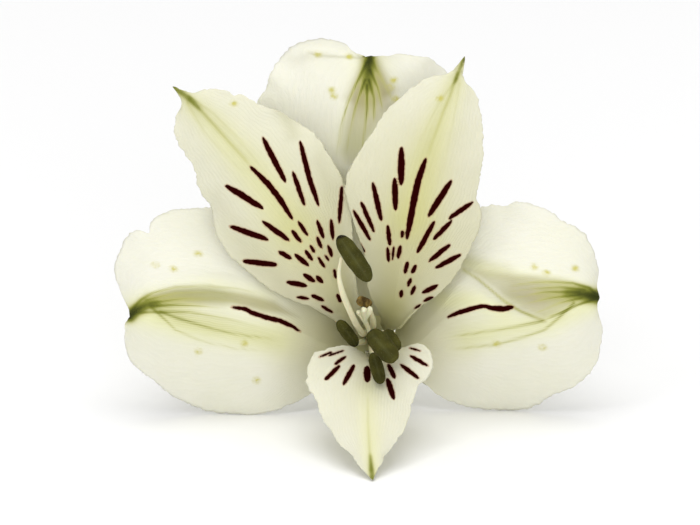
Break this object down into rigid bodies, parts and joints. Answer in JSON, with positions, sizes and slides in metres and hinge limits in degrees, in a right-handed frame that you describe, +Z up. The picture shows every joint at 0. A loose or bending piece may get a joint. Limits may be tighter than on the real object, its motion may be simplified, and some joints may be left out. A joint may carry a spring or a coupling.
{
  "type": "alstroemeria bloom on its cut flower stalk",
  "caption": "Cream Peruvian lily bloom on a short cut stalk, lying on its side: narrow-clawed tepals in two whorls, the inner ones streaked dark, curved stamens and a ribbed ovary.",
  "frame": {"origin": "on the surface the bloom lies on, under the middle of the bounding box", "axes": "+Z up from the surface; -Y the way the bloom's face looks out, tipped upwards by about twenty degrees, with the cut stalk running back along +Y; +X to the right of the face as a viewer in front sees it"},
  "size_m": [0.067, 0.1028, 0.0529],
  "materials": {
    "tepal": "soft matt petal with a faint sheen",
    "filament": "smooth, slightly waxy",
    "anther": "matt, finely grained with pollen",
    "style": "smooth, slightly waxy",
    "ovary": "smooth, slightly waxy, ribbed lengthwise",
    "stalk": "smooth, slightly waxy"
  },
  "bodies": {
    "root": {"outer_tepal_top": "tepal", "outer_tepal_left": "tepal", "outer_tepal_right": "tepal", "inner_tepal_left": "tepal", "inner_tepal_right": "tepal", "inner_tepal_lower": "tepal", "filament_1": "filament", "filament_2": "filament", "filament_3": "filament", "filament_4": "filament", "filament_5": "filament", "filament_6": "filament", "anther_1": "anther", "anther_2": "anther", "anther_3": "anther", "anther_4": "anther", "anther_5": "anther", "anther_6": "anther", "style": "style", "ovary": "ovary", "flower_stalk": "stalk"}
  },
  "joints": []
}
